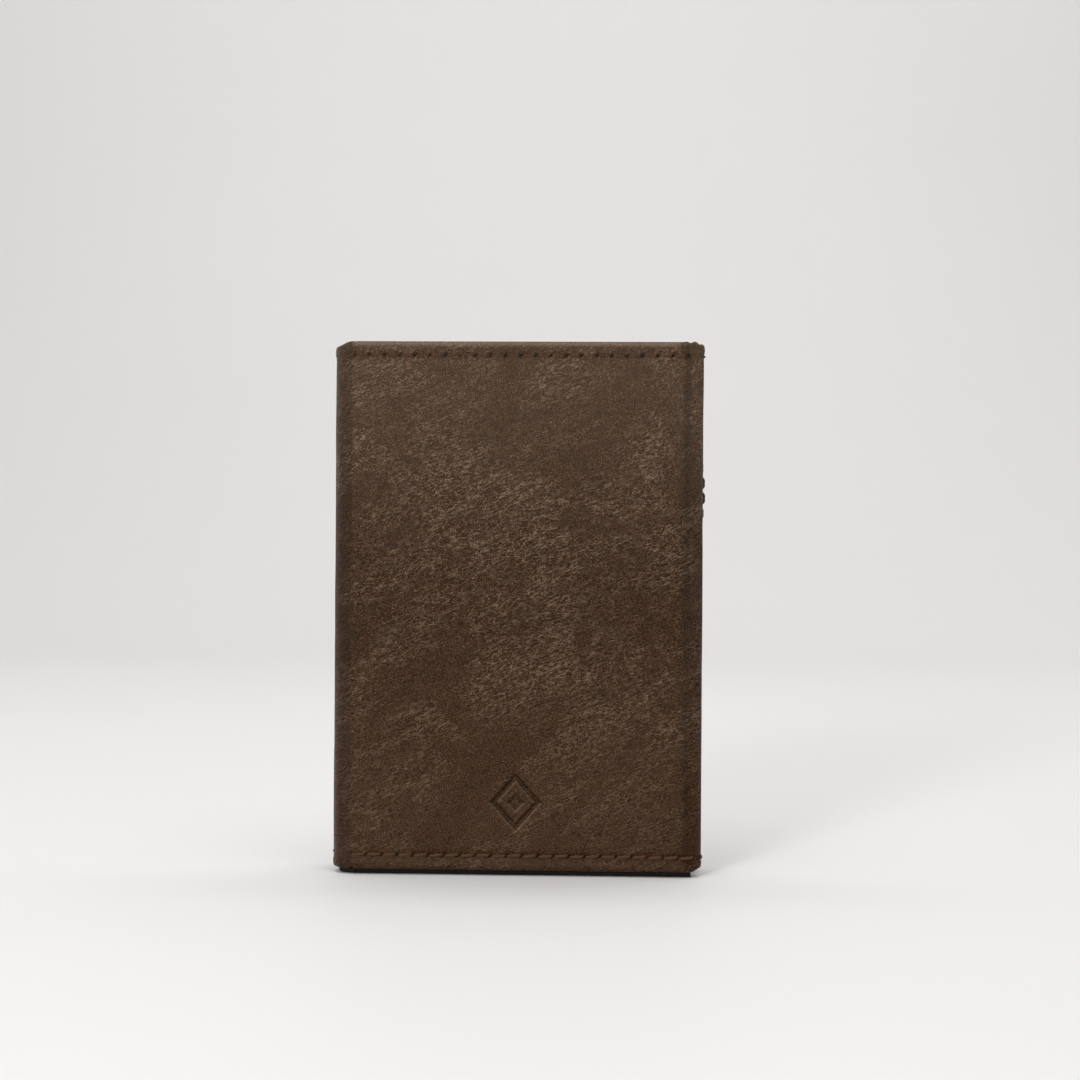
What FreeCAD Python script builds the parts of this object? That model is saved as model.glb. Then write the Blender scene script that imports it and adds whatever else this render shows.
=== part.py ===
import FreeCAD, Part
import math
import os

V = FreeCAD.Vector
os.makedirs("parts", exist_ok=True)

# ---------------------------------------------------------------------------
# Trifold wallet, closed and standing on its long bottom edge.
# +X is to the right of the front panel, -Y is its front, +Z is up.
# All lengths are in millimetres.
# ---------------------------------------------------------------------------

# Overall
WIDTH = 77.0            # left fold to the front flap's free edge
HEIGHT = 111.0          # bottom of the black edging to the top of the leather
BACK_SHORT = 0.6        # the right fold and the back flap's free edge stop this much short
LEATHER_BOTTOM = 1.1    # the leather hem stops this far above the floor
PANEL_GAP = 0.8         # air between two closed panels

# Leather
HEM = 1.2               # outer leather, its edge turned back on itself
REAR_LEATHER = 1.0      # the leather on the back of the middle panel
BASE = 0.5              # leather that the card slots are sewn to
SLOT = 0.5              # one card-slot strip
CORNER = 2.6            # rounding of a flap's free corners

# Black parts
STIFFENER = 0.4
LINING = 0.2
BILL_GAP = 0.3          # the empty note compartment
WELT_TOP = 3.2          # the black edging strip runs from the floor to here
STIFFENER_TOP = 109.4
WELT_W = 1.8            # width of the upright edging at a free end

# Pockets
BASE_TOP = 105.5        # inner wall of the note compartment
MOUTHS = (77.0, 86.0, 95.0)   # heights of the three card-slot mouths
POCKET_BOTTOM = 1.6
WINDOW_W = 50.0
WINDOW_H = 78.0
WINDOW_R = 5.0
FILM = 0.3
FRAME = 0.6

# Folds
FOLD_R = 4.0            # outer radius where the leather turns a corner
FOLD_CLEAR = 0.3        # gap between a fold's leather and the panel's leather
HINGE_IN = FOLD_R * (1 - math.pi / 4)   # keeps the leather's length when it opens

# Thread
PITCH = 3.175           # eight stitches to the inch
STITCH_L = 2.4
STITCH_W = 0.5
STITCH_H = 0.22
ROW_IN = 2.9            # seam from the edge of the leather
TILT = 6.0              # slant of one stitch, in degrees

# Emblem: a plain double lozenge pressed into the leather
EMBLEM_W = 10.6
EMBLEM_H = 12.0
EMBLEM_Z = 15.3
EMBLEM_LINE = 0.9
EMBLEM_DEEP = 0.4

HALF_W = WIDTH / 2
FLAP_T = HEM + STIFFENER + 2 * LINING + BILL_GAP + BASE + 3 * SLOT
MIDDLE_T = REAR_LEATHER + STIFFENER + 2 * LINING + BILL_GAP + BASE + 3 * SLOT
DEPTH = 2 * FLAP_T + MIDDLE_T + 2 * PANEL_GAP
LEFT_FOLD = -HALF_W                       # outside of each fold
RIGHT_FOLD = HALF_W - BACK_SHORT
LAYER_IN = 0.8                            # the layers inside stop this far short of the leather
ROLL = FLAP_T / 2                         # the leather rolls round a flap's free end


def rounded(x0, x1, z0, z1, y0, y1, bl=0.0, br=0.0, tr=0.0, tl=0.0):
    """A flat piece in the XZ plane from y0 to y1 with its own radius at each corner."""
    corners = [
        (x0, z0, bl, 180),
        (x1, z0, br, 270),
        (x1, z1, tr, 0),
        (x0, z1, tl, 90),
    ]
    points = []
    edges = []
    for x, z, r, start in corners:
        if r <= 0:
            points.append((V(x, y0, z), V(x, y0, z)))
            continue
        cx = x + r if x == x0 else x - r
        cz = z + r if z == z0 else z - r
        ends = []
        for a in (start, start + 45, start + 90):
            t = math.radians(a)
            ends.append(V(cx + r * math.cos(t), y0, cz + r * math.sin(t)))
        edges.append(Part.Arc(*ends).toShape())
        points.append((ends[0], ends[2]))
    for i, (_, last) in enumerate(points):
        first = points[(i + 1) % 4][0]
        edges.append(Part.makeLine(last, first))
    wire = Part.Wire(Part.__sortEdges__(edges))
    return Part.Face(wire).extrude(V(0, y1 - y0, 0))


def soften(shape, y, radius, skip=None):
    """Rounds the edges that lie on the face at this y, except those that skip names."""
    found = []
    for edge in shape.Edges:
        box = edge.BoundBox
        if abs(box.YMin - y) > 1e-6 or abs(box.YMax - y) > 1e-6:
            continue
        if skip and skip(box):
            continue
        found.append(edge)
    return shape.makeFillet(radius, found)


def stack(start, outward, thicknesses):
    """The (low, high) of each layer, counted from start in the direction outward."""
    layers = []
    at = start
    for thick in thicknesses:
        end = at + outward * thick
        layers.append((min(at, end), max(at, end)))
        at = end
    return layers


def one_stitch():
    """A thread bar lying on a face at y=0, its back towards -Y and its length along X."""
    r = STITCH_W / 2
    half = STITCH_L / 2 - r
    bar = Part.makeCylinder(r, 2 * half, V(-half, 0, 0), V(1, 0, 0))
    for x in (-half, half):
        bar = bar.fuse(Part.makeSphere(r, V(x, 0, 0)))
    keep = Part.makeBox(STITCH_L + 1, r + 0.1, 2 * r + 1, V(-STITCH_L / 2 - 0.5, -r - 0.1, -r - 0.5))
    return bar.common(keep).removeSplitter()


STITCH = one_stitch()


def thread(x, y, z, normal, upright=False, slant=TILT):
    """One stitch at a point on a face whose outward direction is normal."""
    bar = STITCH.copy()
    bar.rotate(V(0, 0, 0), V(0, 1, 0), (90 if upright else 0) + slant)
    turn = math.degrees(math.atan2(normal[1], normal[0])) + 90
    bar.rotate(V(0, 0, 0), V(0, 0, 1), turn)
    bar.translate(V(x, y, z))
    return bar


def across(x0, x1, z, y, side):
    """A seam along X on a face at y that looks towards side."""
    n = int((x1 - x0) // PITCH)
    start = (x0 + x1 - (n - 1) * PITCH) / 2
    return [thread(start + i * PITCH, y, z, (0, side)) for i in range(n)]


def upward(x, z0, z1, level, side):
    """A seam up a face whose y changes with height, as level says."""
    n = int((z1 - z0) // PITCH)
    start = (z0 + z1 - (n - 1) * PITCH) / 2
    made = []
    for i in range(n):
        z = start + i * PITCH
        near = [abs(z - m) for m in (*MOUTHS, BASE_TOP)]
        if min(near) > STITCH_L / 2 + 0.15:
            made.append(thread(x, level(z), z, (0, side), upright=True))
    return made


def slot_level(base_y, side):
    """The y of the outermost leather at a height on a three-slot pocket face."""

    def level(z):
        count = sum(z < m for m in MOUTHS)
        return base_y + side * SLOT * count

    return level


def save(name, shape):
    shape.exportStep("parts/" + name + ".step")


def save_many(name, solids):
    save(name, Part.makeCompound(solids))


def lozenge(width, height, y0, y1):
    """A diamond in the XZ plane centred on the emblem."""
    tips = [
        V(0, y0, EMBLEM_Z - height / 2),
        V(width / 2, y0, EMBLEM_Z),
        V(0, y0, EMBLEM_Z + height / 2),
        V(-width / 2, y0, EMBLEM_Z),
    ]
    return Part.Face(Part.makePolygon(tips + tips[:1])).extrude(V(0, y1 - y0, 0))


def pocket_strips(prefix, x0, x1, base_y, side):
    """Three card-slot strips, each over the one behind and lower than it."""
    layers = stack(base_y, side, [SLOT] * 3)
    for (y0, y1), mouth, word in zip(layers, reversed(MOUTHS), ("high", "mid", "low")):
        strip = rounded(x0, x1, POCKET_BOTTOM, mouth, y0, y1)
        outer = y0 if side < 0 else y1
        strip = soften(strip, outer, 0.2, lambda b, m=mouth: b.ZMin < m - 1e-6)
        save(prefix + "_card_slot_" + word, strip)


# ---------------------------------------------------------------------------
# One flap is built for the front and, turned half round, for the back. The
# outer leather, black stiffener, two linings and pocket base are the same.
# ---------------------------------------------------------------------------

def meets_fold(fold_outside):
    """Where a panel's leather stops beside a fold whose outside is at this x."""
    side = math.copysign(1, fold_outside)
    return fold_outside - side * (FOLD_R + FOLD_CLEAR)


def rolled_leather(outer_y, inward, fold_edge, free_edge):
    """A flap's outer leather, rolled round the ends of the layers at its free edge."""
    free = math.copysign(1, free_edge)
    turn = free_edge - free * ROLL
    small = ROLL - HEM
    mid_y = outer_y + inward * ROLL
    last_y = outer_y + inward * FLAP_T
    edges = [
        Part.makeLine(V(fold_edge, outer_y, 0), V(turn, outer_y, 0)),
        Part.Arc(V(turn, outer_y, 0), V(free_edge, mid_y, 0), V(turn, last_y, 0)).toShape(),
        Part.makeLine(V(turn, last_y, 0), V(turn, last_y - inward * HEM, 0)),
        Part.Arc(V(turn, last_y - inward * HEM, 0), V(turn + free * small, mid_y, 0),
                 V(turn, outer_y + inward * HEM, 0)).toShape(),
        Part.makeLine(V(turn, outer_y + inward * HEM, 0), V(fold_edge, outer_y + inward * HEM, 0)),
        Part.makeLine(V(fold_edge, outer_y + inward * HEM, 0), V(fold_edge, outer_y, 0)),
    ]
    section = Part.Face(Part.Wire(Part.__sortEdges__(edges)))
    section.translate(V(0, 0, LEATHER_BOTTOM))
    band = section.extrude(V(0, 0, HEIGHT - LEATHER_BOTTOM))
    right = CORNER if free > 0 else 0
    left = CORNER if free < 0 else 0
    xs = sorted((fold_edge, free_edge))
    ys = sorted((outer_y, last_y))
    outline = rounded(*xs, LEATHER_BOTTOM, HEIGHT, *ys, bl=left, tl=left, br=right, tr=right)
    return band.common(outline)


def flap_core(prefix, outer_y, inward, fold_outside, free_edge):
    """Outer leather to pocket base. Returns the leather, the pockets' span and their face."""
    free = math.copysign(1, free_edge)
    fold_edge = meets_fold(fold_outside)
    end_x = free_edge - free * ROLL
    inner_x = fold_edge + free * LAYER_IN
    ins = sorted((inner_x, end_x - free * WELT_W))
    full = sorted((inner_x, end_x))
    layers = stack(outer_y, inward, [HEM, STIFFENER, LINING, BILL_GAP, LINING, BASE])
    hem, stiff, outer_lining, gap, inner_lining, base = layers

    save(prefix + "_stiffener", rounded(*ins, WELT_TOP, STIFFENER_TOP, *stiff))
    save(prefix + "_bill_lining_outer", rounded(*ins, WELT_TOP, STIFFENER_TOP - 1, *outer_lining))
    save(prefix + "_bill_lining_inner", rounded(*ins, WELT_TOP, BASE_TOP - 1, *inner_lining))

    # The black edging closes the note compartment along the bottom and at the free end.
    between = (min(stiff[0], inner_lining[0]), max(stiff[1], inner_lining[1]))
    save(prefix + "_bottom_welt", rounded(*full, 0, WELT_TOP, *between))
    end = sorted((end_x, end_x - free * WELT_W))
    save(prefix + "_end_welt", rounded(*end, WELT_TOP, BASE_TOP - 1, *between))

    save(prefix + "_pocket_base", rounded(*full, POCKET_BOTTOM, BASE_TOP, *base))
    inner_y = base[1] if inward > 0 else base[0]
    return rolled_leather(outer_y, inward, fold_edge, free_edge), full, inner_y


def outer_threads(prefix, outer_y, side, fold_outside, free_edge):
    """The seams along the top and bottom of a flap, with one stitch on its rolled end."""
    free = math.copysign(1, free_edge)
    xs = sorted((meets_fold(fold_outside) + free * 0.4, free_edge - free * 2.4))
    mid_y = outer_y - side * ROLL
    for name, z in (("_thread_top", HEIGHT - ROW_IN), ("_thread_bottom", LEATHER_BOTTOM + ROW_IN)):
        row = across(*xs, z, outer_y, side)
        row.append(thread(free_edge, mid_y, z, (free, 0)))
        save_many(prefix + name, row)


FRONT_Y = -DEPTH / 2
MIDDLE_FRONT = FRONT_Y + FLAP_T + PANEL_GAP
MIDDLE_REAR = MIDDLE_FRONT + MIDDLE_T
BACK_Y = DEPTH / 2

# --- Front flap: plain leather with the emblem outside, three card slots inside ---
front, front_span, front_base = flap_core("front", FRONT_Y, 1, LEFT_FOLD, HALF_W)
ring = lozenge(EMBLEM_W, EMBLEM_H, FRONT_Y - 1, FRONT_Y + EMBLEM_DEEP)
scale = 1 - 2 * EMBLEM_LINE * math.hypot(EMBLEM_W, EMBLEM_H) / (EMBLEM_W * EMBLEM_H)
ring = ring.cut(lozenge(EMBLEM_W * scale, EMBLEM_H * scale, FRONT_Y - 2, FRONT_Y + 2))
heart = lozenge(EMBLEM_W * 0.34, EMBLEM_H * 0.34, FRONT_Y - 1, FRONT_Y + EMBLEM_DEEP)
save("front_leather", front.cut(ring).cut(heart))
pocket_strips("front", *front_span, front_base, 1)
outer_threads("front", FRONT_Y, -1, LEFT_FOLD, HALF_W)
front_level = slot_level(front_base, 1)
front_rows = upward(front_span[1] - 2.2, 8, BASE_TOP, front_level, 1)
front_rows += upward(front_span[0] + 2.2, 8, BASE_TOP, front_level, 1)
front_rows += across(front_span[0] + 1, front_span[1] - 1, 4.6, front_level(4.6), 1)
save_many("front_thread_pockets", front_rows)

# --- Back flap: plain leather outside, identity window over a slip pocket inside ---
back, back_span, back_base = flap_core("back", BACK_Y, -1, RIGHT_FOLD, -RIGHT_FOLD)
save("back_leather", back)
outer_threads("back", BACK_Y, 1, RIGHT_FOLD, -RIGHT_FOLD)
slip, film, frame = stack(back_base, -1, [SLOT, FILM, FRAME])
mid_x = sum(back_span) / 2
win_z = 10.0
save("back_slip_pocket", rounded(*back_span, POCKET_BOTTOM, MOUTHS[2], *slip))
film_x = (mid_x - WINDOW_W / 2 - 4, mid_x + WINDOW_W / 2 + 4)
film_z = (win_z - 4, win_z + WINDOW_H + 4)
save("back_window_film", rounded(*film_x, *film_z, *film, bl=2, br=2, tr=2, tl=2))
surround = rounded(*back_span, POCKET_BOTTOM, MOUTHS[2], film[0], film[1])
surround = surround.cut(rounded(*film_x, *film_z, film[0] - 1, film[1] + 1, 2, 2, 2, 2))
panel = rounded(*back_span, POCKET_BOTTOM, MOUTHS[2], *frame)
window = rounded(mid_x - WINDOW_W / 2, mid_x + WINDOW_W / 2, win_z, win_z + WINDOW_H,
                 frame[0] - 1, frame[1] + 1, WINDOW_R, WINDOW_R, WINDOW_R, WINDOW_R)
panel = panel.cut(window).fuse(surround).removeSplitter()
save("back_window_frame", panel)
back_rows = []
for sign in (-1, 1):
    seam_x = mid_x + sign * (WINDOW_W / 2 + 2.2)
    back_rows += upward(seam_x, win_z - 1, MOUTHS[0], lambda z: frame[0], -1)
back_rows += across(back_span[0] + 1, back_span[1] - 1, 4.6, frame[0], -1)
save_many("back_thread_window", back_rows)

# --- Middle panel: three card slots in front, plain leather behind ---
middle_layers = stack(
    MIDDLE_REAR, -1, [REAR_LEATHER, STIFFENER, LINING, BILL_GAP, LINING, BASE])
rear, stiff, lining_a, gap, lining_b, base = middle_layers
sheet = (meets_fold(LEFT_FOLD), meets_fold(RIGHT_FOLD))
save("middle_leather", rounded(*sheet, LEATHER_BOTTOM, HEIGHT, *rear))
inside = (sheet[0] + LAYER_IN, sheet[1] - LAYER_IN)
save("middle_stiffener", rounded(*inside, WELT_TOP, STIFFENER_TOP, *stiff))
save("middle_bill_lining_outer", rounded(*inside, WELT_TOP, STIFFENER_TOP - 1, *lining_a))
save("middle_bill_lining_inner", rounded(*inside, WELT_TOP, BASE_TOP - 1, *lining_b))
save("middle_bottom_welt", rounded(*inside, 0, WELT_TOP, lining_b[0], stiff[1]))
save("middle_pocket_base", rounded(*inside, POCKET_BOTTOM, BASE_TOP, *base))
pocket_strips("middle", *inside, base[0], -1)
middle_level = slot_level(base[0], -1)
middle_rows = across(inside[0] + 1, inside[1] - 1, 4.6, middle_level(4.6), -1)
for seam_x in (inside[0] + 2.2, inside[1] - 2.2):
    middle_rows += upward(seam_x, 8, BASE_TOP, middle_level, -1)
save_many("middle_thread_pockets", middle_rows)
rear_rows = []
for z in (HEIGHT - ROW_IN, LEATHER_BOTTOM + ROW_IN):
    rear_rows += across(sheet[0] + 1, sheet[1] - 1, z, MIDDLE_REAR, 1)
save_many("middle_thread_rear", rear_rows)


# ---------------------------------------------------------------------------
# A fold is a band of leather that turns two corners round the edges of two
# panels. Inside it runs the lining of the note compartment.
# ---------------------------------------------------------------------------

def channel(back, y0, y1, thick):
    """Section of a fold's leather, its outside at x = back."""
    side = math.copysign(1, back)
    c = back - side * FOLD_R
    r = FOLD_R
    ri = FOLD_R - thick
    s = math.sqrt(0.5)
    low = y0 + r
    high = y1 - r
    edges = [
        Part.Arc(V(c, y0, 0), V(c + side * r * s, low - r * s, 0), V(back, low, 0)).toShape(),
        Part.makeLine(V(back, low, 0), V(back, high, 0)),
        Part.Arc(V(back, high, 0), V(c + side * r * s, high + r * s, 0), V(c, y1, 0)).toShape(),
        Part.makeLine(V(c, y1, 0), V(c, y1 - thick, 0)),
        Part.Arc(V(c, y1 - thick, 0), V(c + side * ri * s, high + ri * s, 0),
                 V(back - side * thick, high, 0)).toShape(),
        Part.makeLine(V(back - side * thick, high, 0), V(back - side * thick, low, 0)),
        Part.Arc(V(back - side * thick, low, 0), V(c + side * ri * s, low - ri * s, 0),
                 V(c, y0 + thick, 0)).toShape(),
        Part.makeLine(V(c, y0 + thick, 0), V(c, y0, 0)),
    ]
    return Part.Face(Part.Wire(Part.__sortEdges__(edges)))


def fold(prefix, outside, y0, y1, thick, seam):
    side = math.copysign(1, outside)
    band = channel(outside, y0, y1, thick).extrude(V(0, 0, HEIGHT - LEATHER_BOTTOM))
    band.translate(V(0, 0, LEATHER_BOTTOM))
    save(prefix + "_leather", band)
    x_back = outside - side * thick
    xs = sorted((x_back, x_back - side * (LINING + STIFFENER)))
    low = y0 + FOLD_R
    high = y1 - FOLD_R
    lining = rounded(*xs, WELT_TOP, STIFFENER_TOP - 1, low, high)
    save(prefix + "_lining", lining)
    welt_x = sorted((x_back, x_back - side * 1.0))
    save(prefix + "_welt", rounded(*welt_x, 0, WELT_TOP, low, high))
    mid = (y0 + y1) / 2
    rows = []
    for z in (LEATHER_BOTTOM + ROW_IN, HEIGHT - ROW_IN):
        rows.append(thread(outside, mid, z, (side, 0)))
    if seam:
        n = int((HEIGHT - 2 * ROW_IN - 8) // PITCH)
        start = HEIGHT / 2 - (n - 1) * PITCH / 2
        for i in range(n):
            z = start + i * PITCH
            rows.append(thread(outside, mid, z, (side, 0), upright=True))
    save_many(prefix + "_thread", rows)


fold("left_fold", LEFT_FOLD, FRONT_Y, MIDDLE_REAR, REAR_LEATHER, False)
fold("right_fold", RIGHT_FOLD, MIDDLE_FRONT, BACK_Y, REAR_LEATHER, True)

print("depth over leather", DEPTH, "flap", FLAP_T, "middle", MIDDLE_T)
print("front face", FRONT_Y, "middle", MIDDLE_FRONT, MIDDLE_REAR, "hinge inset", HINGE_IN)
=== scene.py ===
import math

import bpy
import numpy as np
from mathutils import Matrix, Vector, noise


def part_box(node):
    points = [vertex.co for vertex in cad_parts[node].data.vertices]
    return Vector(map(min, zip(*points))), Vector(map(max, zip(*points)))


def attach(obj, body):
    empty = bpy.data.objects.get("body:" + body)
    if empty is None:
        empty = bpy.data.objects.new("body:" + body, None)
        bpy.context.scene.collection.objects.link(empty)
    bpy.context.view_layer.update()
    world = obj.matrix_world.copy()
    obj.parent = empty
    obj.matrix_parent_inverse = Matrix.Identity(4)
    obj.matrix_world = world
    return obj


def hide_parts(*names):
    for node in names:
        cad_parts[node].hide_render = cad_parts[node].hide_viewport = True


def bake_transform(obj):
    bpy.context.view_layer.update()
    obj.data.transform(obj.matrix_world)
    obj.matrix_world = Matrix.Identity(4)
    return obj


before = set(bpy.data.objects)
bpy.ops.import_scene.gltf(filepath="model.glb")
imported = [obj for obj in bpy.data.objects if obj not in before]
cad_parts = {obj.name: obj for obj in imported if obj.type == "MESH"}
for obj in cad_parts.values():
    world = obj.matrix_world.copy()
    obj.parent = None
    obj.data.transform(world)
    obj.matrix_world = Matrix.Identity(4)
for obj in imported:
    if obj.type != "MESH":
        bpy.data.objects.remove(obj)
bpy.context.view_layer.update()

MM = 0.001


# ---- Sizes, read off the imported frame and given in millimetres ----

def span(node, axis):
    low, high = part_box(node)
    return low[axis] / MM, high[axis] / MM


FRONT_Y, FRONT_IN = span("front_leather", 1)
BACK_IN, BACK_Y = span("back_leather", 1)
LEFT_X = span("left_fold_leather", 0)[0]
RIGHT_X = span("right_fold_leather", 0)[1]
FREE_X = span("front_leather", 0)[1]
BACK_FREE_X = span("back_leather", 0)[0]
MIDDLE_REAR = span("middle_leather", 1)[1]
MIDDLE_FRONT = span("right_fold_leather", 1)[0]
LEATHER_Z0, LEATHER_Z1 = span("front_leather", 2)
LEFT_MID_Y = (FRONT_Y + MIDDLE_REAR) / 2
RIGHT_MID_Y = (MIDDLE_FRONT + BACK_Y) / 2
SKIN = 1.15                 # thickness of the outer leather, hem and all
HEM_SKIN = 0.9              # and of the hem on the middle panel's pocket side
PITCH = 3.175               # stitch spacing
SEAM_IN = 2.9               # seam to the leather's edge
SEAM_TOP = LEATHER_Z1 - SEAM_IN
SEAM_LOW = LEATHER_Z0 + SEAM_IN + 0.2
SEAM_DEPTH = 0.20           # how far a seam pulls the leather in
CORNER_A = 5.2              # how far the left fold's rounding reaches across the front
BACK_CORNER_A = 4.8         # and the right fold's across the back
FOLD_A = 4.4                # and both folds' across the middle panel
REAR_IN = 4.2               # the rear cover's end, and the hem's, in from the right fold
HEM_IN = 4.9
ROLL_A, ROLL_B = 4.2, 2.3   # a free edge's rounding: across the face, and half the thickness
ROLL_END = 1.9              # how far the rolled edge turns in behind
BULGE, BULGE_Z, BULGE_SPREAD = 0.95, 80.0, 7.5      # where the right fold stands out
FOLD_GROOVE = 0.15          # the valley up the right fold's seam
EMBLEM_W, EMBLEM_H, EMBLEM_Z, EMBLEM_LINE = 10.6, 12.0, 15.3, 0.9
POCKET_SEAM_Z = 4.6         # the seam along the bottom of the card slots
POCKET_SEAM_IN = 2.2        # and those up their sides, in from their ends
WINDOW_LAP = 4.0            # how far the window's leather frame covers its film
MOUTH_TOPS = {word: span("front_card_slot_" + word, 2)[1] for word in ("low", "mid", "high")}


# ---- Small helpers ----

def bell(x, width):
    return np.exp(-(x / width) ** 2)


def ramp(x, low, high):
    t = np.clip((x - low) / (high - low), 0, 1)
    return t * t * (3 - 2 * t)


def field(u, z, size, seed):
    """Smooth noise between -1 and 1 over two arrays of millimetres."""
    flat_u, flat_z = np.ravel(u), np.ravel(z)
    out = np.empty(len(flat_u))
    for i in range(len(flat_u)):
        out[i] = noise.noise(Vector((flat_u[i] / size, flat_z[i] / size, seed)))
    return out.reshape(np.shape(u))


def coarse_field(u, z, size, seed, step):
    """field() worked out on a coarser grid and spread over rows and columns of values."""
    gu = np.arange(u.min() - step, u.max() + 2 * step, step)
    gz = np.arange(z.min() - step, z.max() + 2 * step, step)
    grid = field(*np.meshgrid(gu, gz, indexing="ij"), size, seed)
    fu = (u - gu[0]) / step
    fz = (z - gz[0]) / step
    iu = np.clip(fu.astype(int), 0, len(gu) - 2)
    iz = np.clip(fz.astype(int), 0, len(gz) - 2)
    su, sz = fu - iu, fz - iz
    su, sz = su * su * (3 - 2 * su), sz * sz * (3 - 2 * sz)
    low = grid[iu, iz] * (1 - su) + grid[iu + 1, iz] * su
    high = grid[iu, iz + 1] * (1 - su) + grid[iu + 1, iz + 1] * su
    return low * (1 - sz) + high * sz


def bend(obj):
    """Bakes a piece's placement into its points; the piece stays unattached to any body."""
    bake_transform(obj)


def new_object(name, verts, faces, grain, material, shade=None):
    """A mesh piece. grain is each point's place on its own sheet, in millimetres."""
    mesh = bpy.data.meshes.new(name)
    mesh.from_pydata((np.asarray(verts) * MM).tolist(), [], faces)
    mesh.update()
    at = mesh.attributes.new("grain", "FLOAT_VECTOR", "POINT")
    at.data.foreach_set("vector", np.asarray(grain, np.float32).ravel())
    # shade holds painted shade for each point, and below 0 a painted highlight.
    if shade is not None:
        dark = mesh.attributes.new("shade", "FLOAT", "POINT")
        dark.data.foreach_set("value", np.asarray(shade, np.float32).ravel())
    mesh.polygons.foreach_set("use_smooth", [True] * len(mesh.polygons))
    mesh.materials.append(material)
    obj = bpy.data.objects.new(name, mesh)
    bpy.context.scene.collection.objects.link(obj)
    return obj


def ring_faces(columns, rows, wrap_columns=False):
    """Quads of a closed section of rows points repeated over columns, with end caps."""
    faces = []
    last = columns if wrap_columns else columns - 1
    for c in range(last):
        a, b = c * rows, ((c + 1) % columns) * rows
        for r in range(rows):
            n = (r + 1) % rows
            faces.append((a + r, b + r, b + n, a + n))
    if not wrap_columns:
        faces.append(tuple(range(rows)))
        faces.append(tuple(range(columns * rows - 1, (columns - 1) * rows - 1, -1)))
    return faces


# ---- Leather sheets: an outline seen from above, swept up the wallet's height ----

def arc(cx, cy, a, b, start, end, count=60):
    t = np.radians(np.linspace(start, end, count))
    return [(cx + a * math.cos(v), cy + b * math.sin(v)) for v in t]


def resample(points, steps):
    """Evenly spaced points and outward normals. steps(x) gives the spacing near x."""
    points = np.array(points, float)
    keep = np.r_[True, np.hypot(*np.diff(points, axis=0).T) > 1e-6]
    points = points[keep]
    lengths = np.r_[0, np.cumsum(np.hypot(*np.diff(points, axis=0).T))]
    us = [0.0]
    while us[-1] < lengths[-1]:
        x = np.interp(us[-1], lengths, points[:, 0])
        us.append(us[-1] + steps(x))
    us = np.array(us) * lengths[-1] / us[-1]
    x = np.interp(us, lengths, points[:, 0])
    y = np.interp(us, lengths, points[:, 1])
    fine = 0.15
    tx = np.interp(us + fine, lengths, points[:, 0]) - np.interp(us - fine, lengths, points[:, 0])
    ty = np.interp(us + fine, lengths, points[:, 1]) - np.interp(us - fine, lengths, points[:, 1])
    size = np.hypot(tx, ty)
    return us, x, y, ty / size, -tx / size


def sheet_section(z_levels, z0, z1, thick, edge):
    """Closed section through a sheet: (z, depth, is_outer) up the outside, over the rounded
    top edge, down the inside and round the bottom."""
    section = [(z, 0.0, 1.0) for z in z_levels]
    turn = np.radians(np.linspace(0, 180, 11)[1:-1])
    half = thick / 2
    section += [(z1 - edge + edge * math.sin(t), half - half * math.cos(t), max(0.0, math.cos(t)))
                for t in turn]
    inside = np.arange(z1 - edge, z0 + edge, -3.0)
    section += [(z, thick, 0.0) for z in inside]
    section += [(z0 + edge - edge * math.sin(t), half + half * math.cos(t), max(0.0, -math.cos(t)))
                for t in turn]
    return np.array(section)


def levels(z0, z1, edge, fine_bands, coarse=0.6):
    """Heights from z0 to z1, closer together inside the fine bands (low, high, step)."""
    zs = [z0 + edge]
    while zs[-1] < z1 - edge - 0.05:
        step = coarse
        for low, high, fine in fine_bands:
            if low - step < zs[-1] < high:
                step = min(step, fine)
        zs.append(min(zs[-1] + step, z1 - edge))
    return zs


def leather_sheet(name, outline, u0, relief, material, bands, seed, steps=lambda x: 0.30,
                  z0=LEATHER_Z0, z1=LEATHER_Z1, thick=SKIN, edge=0.55, coarse=0.6, lift=None,
                  shade=None):
    """Sweeps an outline up from z0 to z1. relief(x, y, z, u) stands proud of the outline,
    lift moves it up, and shade gives it painted shade, with a painted highlight where it is
    below 0. Gives the piece and its length along the outline."""
    us, xs, ys, nx, ny = resample(outline, steps)
    us = us + u0
    section = sheet_section(levels(z0, z1, edge, bands, coarse), z0, z1, thick, edge)
    z = np.tile(section[:, 0], (len(us), 1))
    depth = np.tile(section[:, 1], (len(us), 1))
    outer = np.tile(section[:, 2], (len(us), 1))
    u = np.repeat(us[:, None], len(section), 1)
    x = np.repeat(xs[:, None], len(section), 1)
    y = np.repeat(ys[:, None], len(section), 1)
    dark = None if shade is None else shade(x, y, z, u) * outer
    moved = 0.0 if lift is None else lift(x, y, z, u)
    proud = relief(x, y, z, u) * outer - depth
    z = z + moved
    px = x + nx[:, None] * proud
    py = y + ny[:, None] * proud
    verts = np.stack([px, py, z], -1).reshape(-1, 3)
    grain = np.stack([u, z, np.full_like(u, seed) + depth * 0.3], -1).reshape(-1, 3)
    faces = ring_faces(len(us), len(section))
    return new_object(name, verts, faces, grain, material, dark), us[-1]


# ---- Materials ----

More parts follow.
